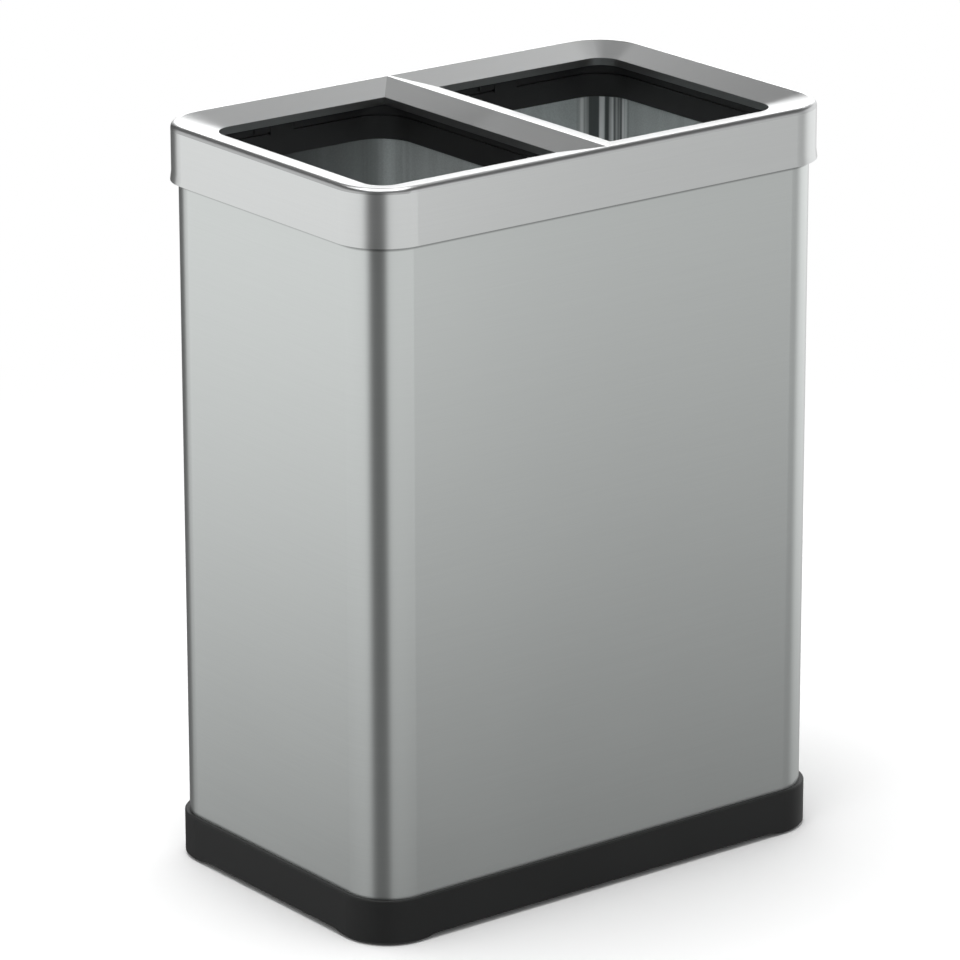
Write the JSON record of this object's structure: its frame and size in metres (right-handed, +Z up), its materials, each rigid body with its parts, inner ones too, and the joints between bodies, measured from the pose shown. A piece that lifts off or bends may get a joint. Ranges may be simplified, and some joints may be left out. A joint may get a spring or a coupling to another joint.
{
  "type": "double recycling bin",
  "caption": "Open-top double recycling bin: steel body on a black plinth, lift-off funnel lid and two lift-out steel buckets with liner rings.",
  "frame": {"origin": "on the floor, at the middle of the footprint", "axes": "+Z up along the height, +X along the long side to the viewer's right, +Y towards the back, along the short side"},
  "size_m": [0.492, 0.313, 0.65],
  "materials": {
    "body_steel": "satin stainless sheet, fine brushing, clear anti-fingerprint film",
    "lid_steel": "satin stainless sheet, fine brushing running round the band and down the slopes",
    "bucket_steel": "bright rolled stainless sheet with soft streaky reflections",
    "galvanised_steel": "galvanised sheet",
    "zinc_steel": "zinc-plated steel",
    "plinth_black": "satin black moulded plastic, fine grain",
    "frame_black": "black moulded plastic",
    "collar_black": "smooth satin black moulded plastic",
    "pad_rubber": "matt rubber"
  },
  "bodies": {
    "cabinet": {"body_shell": "body_steel", "seam_strip": "galvanised_steel", "floor_panel": "galvanised_steel", "floor_screws": "zinc_steel", "base_plinth": "plinth_black", "foot_pad_front_left": "pad_rubber", "foot_pad_front_right": "pad_rubber", "foot_pad_back_left": "pad_rubber", "foot_pad_back_right": "pad_rubber"},
    "lid_frame": {"lid_band": "lid_steel", "lid_top": "lid_steel", "lid_inner_frame": "frame_black"},
    "bucket_left": {"bucket_shell_left": "bucket_steel", "bucket_pan_left": "bucket_steel", "bucket_collar_left": "collar_black", "hinge_pin_left": "zinc_steel"},
    "liner_ring_left_body": {"liner_ring_left": "collar_black"},
    "bucket_right": {"bucket_shell_right": "bucket_steel", "bucket_pan_right": "bucket_steel", "bucket_collar_right": "collar_black", "hinge_pin_right": "zinc_steel"},
    "liner_ring_right_body": {"liner_ring_right": "collar_black"}
  },
  "joints": [
    {"name": "lid_lift", "type": "slide", "parent": "cabinet", "child": "lid_frame", "axis": [0, 0, 1], "range_m": [0, 1.25]},
    {"name": "bucket_left_lift", "type": "slide", "parent": "cabinet", "child": "bucket_left", "axis": [0, 0, 1], "range_m": [0, 0.61]},
    {"name": "liner_ring_left_flip", "type": "hinge", "parent": "bucket_left", "child": "liner_ring_left_body", "pos_m": [-0.1195, 0.1423, 0.6298], "axis": [-1, 0, 0], "range_deg": [0, 90]},
    {"name": "bucket_right_lift", "type": "slide", "parent": "cabinet", "child": "bucket_right", "axis": [0, 0, 1], "range_m": [0, 0.61]},
    {"name": "liner_ring_right_flip", "type": "hinge", "parent": "bucket_right", "child": "liner_ring_right_body", "pos_m": [0.1195, 0.1423, 0.6298], "axis": [-1, 0, 0], "range_deg": [0, 90]}
  ],
  "couplings": [
    {"joint": "bucket_left_lift", "follows": "lid_lift", "ratio": 0.488},
    {"joint": "liner_ring_left_flip", "follows": "lid_lift", "rad_per_m": 1.2566},
    {"joint": "bucket_right_lift", "follows": "lid_lift", "ratio": 0.488},
    {"joint": "liner_ring_right_flip", "follows": "lid_lift", "rad_per_m": 1.2566}
  ]
}
